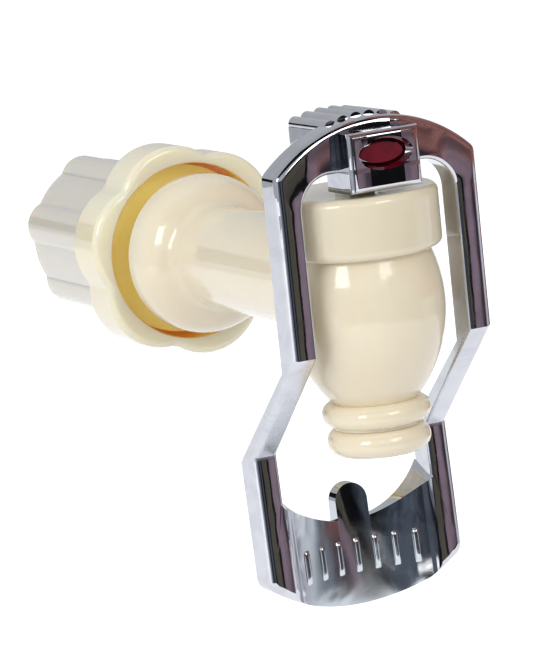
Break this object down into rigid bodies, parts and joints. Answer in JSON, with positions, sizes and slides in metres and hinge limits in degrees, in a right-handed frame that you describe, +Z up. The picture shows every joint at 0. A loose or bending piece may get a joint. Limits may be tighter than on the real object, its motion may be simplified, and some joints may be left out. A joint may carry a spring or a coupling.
{
  "type": "water dispenser tap",
  "caption": "Push-back tap for a water dispenser: ivory valve body with a turned spout, chrome-look lever with a push paddle, panel gasket and hand nut.",
  "frame": {"origin": "centre of the gasket's seating face, on the axis of the barrel and shank, in the plane of the panel's front face", "axes": "+Y along the shank, back through the panel; +Z up; +X to the right as a user faces the tap"},
  "size_m": [0.0418, 0.1392, 0.0936],
  "materials": {
    "ivory_plastic": "glossy moulded, cream",
    "white_plastic": "moulded, white",
    "clear_silicone": "milky silicone",
    "white_rubber": "soft moulded",
    "amber_rubber": "soft moulded, honey amber",
    "spring_steel": "stainless",
    "chrome_plating": "bright plated",
    "red_plastic": "glossy"
  },
  "bodies": {
    "tap": {"tap_body": "ivory_plastic", "bonnet": "ivory_plastic", "panel_gasket": "white_rubber", "spring_washer": "white_plastic", "seat_cup": "clear_silicone", "return_spring": "spring_steel"},
    "stem": {"stem": "white_plastic"},
    "lever": {"push_lever": "chrome_plating", "lever_pin": "spring_steel", "indicator": "red_plastic"},
    "washer": {"nut_washer": "amber_rubber"},
    "nut": {"lock_nut": "ivory_plastic"}
  },
  "joints": [
    {"name": "stem_lift", "type": "slide", "parent": "tap", "child": "stem", "axis": [0, 0, 1], "range_m": [0, 0.003], "deforming": ["return_spring", "seat_cup"]},
    {"name": "lever_swing", "type": "hinge", "parent": "stem", "child": "lever", "pos_m": [0, -0.0702, 0.025], "axis": [1, 0, 0], "range_deg": [0, 15], "stiffness_Nm_per_rad": 0.6, "springref_deg": -5.73},
    {"name": "nut_travel", "type": "slide", "parent": "tap", "child": "washer", "axis": [0, 1, 0], "range_m": [-0.0015, 0.0115]},
    {"name": "nut_turn", "type": "hinge", "parent": "washer", "child": "nut", "pos_m": [0, 0.01, 0], "axis": [0, 1, 0], "range_deg": [-270, 2160]}
  ],
  "couplings": [
    {"joint": "stem_lift", "follows": "lever_swing", "m_per_rad": 0.0112},
    {"joint": "nut_travel", "follows": "nut_turn", "m_per_rad": 0.00028871}
  ]
}
